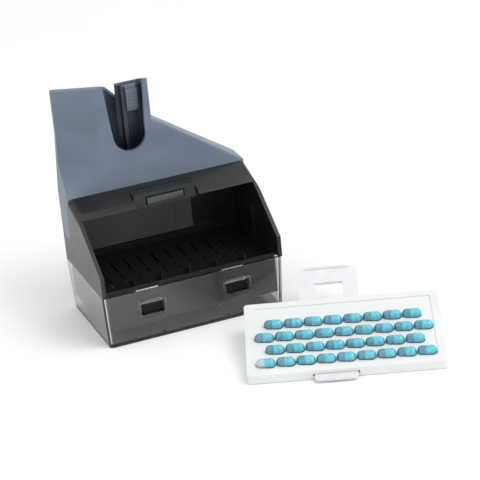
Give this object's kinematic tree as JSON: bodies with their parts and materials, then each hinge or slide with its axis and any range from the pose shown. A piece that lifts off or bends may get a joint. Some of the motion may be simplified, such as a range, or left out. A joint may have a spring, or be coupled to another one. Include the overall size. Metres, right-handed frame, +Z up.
{
  "type": "capsule filler",
  "caption": "Hand-operated capsule filler: a clear powder base, a black loading bin, a grey hood with a notched filling neck, and a separate sloping capsule rack with a sliding gate.",
  "frame": {"origin": "centre of the clear base's underside, on the table", "axes": "+X along the unit's front to the right, +Y towards its back, +Z up"},
  "size_m": [0.2325, 0.248, 0.177],
  "materials": {
    "clear_plastic": "clear, lightly smoked, polished",
    "black_plastic": "satin moulded",
    "charcoal_plastic": "fine moulded texture",
    "smoked_gloss": "polished",
    "spring_steel": "bare spring steel",
    "blue_grey_plastic": "satin moulded",
    "dark_grey_plastic": "fine moulded texture",
    "grey_plastic": "fine moulded texture",
    "screw_steel": "zinc plated",
    "white_plastic": "satin moulded",
    "frosted_plastic": "frosted",
    "capsule_body_teal": "hard gelatin shell",
    "capsule_cap_teal": "hard gelatin shell"
  },
  "bodies": {
    "base": {"clear_base": "clear_plastic"},
    "bin": {"bin_shell": "black_plastic", "bin_floor": "black_plastic", "back_panel": "charcoal_plastic", "latch_frame": "black_plastic", "latch_spring": "spring_steel"},
    "hook_left": {"snap_hook_left": "black_plastic"},
    "hook_right": {"snap_hook_right": "black_plastic"},
    "latch": {"latch_button": "smoked_gloss"},
    "hood": {"hood_shell": "blue_grey_plastic", "neck_divider": "dark_grey_plastic", "guide_rails": "dark_grey_plastic", "rear_cover": "blue_grey_plastic", "cover_screws": "screw_steel"},
    "slider": {"feed_slider": "grey_plastic", "slider_grip": "grey_plastic"},
    "rack": {"rack_plate": "white_plastic", "rack_frame": "white_plastic", "gate_rail_left": "white_plastic", "gate_rail_right": "white_plastic", "gate_rail_screws": "screw_steel", "capsule_bodies": "capsule_body_teal", "capsule_caps": "capsule_cap_teal"},
    "gate": {"gate_plate": "frosted_plastic"}
  },
  "joints": [
    {"name": "bin_lift", "type": "slide", "parent": "base", "child": "bin", "axis": [0, 0, 1], "range_m": [0, 0.06]},
    {"name": "hook_left_flex", "type": "hinge", "parent": "bin", "child": "hook_left", "pos_m": [-0.034, -0.0399, 0.0175], "axis": [-1, 0, 0], "range_deg": [0, 4], "stiffness_Nm_per_rad": 0.4},
    {"name": "hook_right_flex", "type": "hinge", "parent": "bin", "child": "hook_right", "pos_m": [0.034, -0.0399, 0.0175], "axis": [-1, 0, 0], "range_deg": [0, 4], "stiffness_Nm_per_rad": 0.4},
    {"name": "latch_press", "type": "slide", "parent": "bin", "child": "latch", "axis": [0, 1, 0], "range_m": [0, 0.003], "stiffness_N_per_m": 400},
    {"name": "hood_lift", "type": "slide", "parent": "bin", "child": "hood", "axis": [0, 0, 1], "range_m": [0, 0.04]},
    {"name": "slider_feed", "type": "slide", "parent": "hood", "child": "slider", "axis": [0, 0, -1], "range_m": [0, 0.028]},
    {"name": "rack_lift", "type": "slide", "parent": "base", "child": "rack", "axis": [0, 0, 1], "range_m": [0, 0.05]},
    {"name": "gate_slide", "type": "slide", "parent": "rack", "child": "gate", "axis": [0.3513, 0.9152, 0.1977], "range_m": [0, 0.0074]}
  ]
}
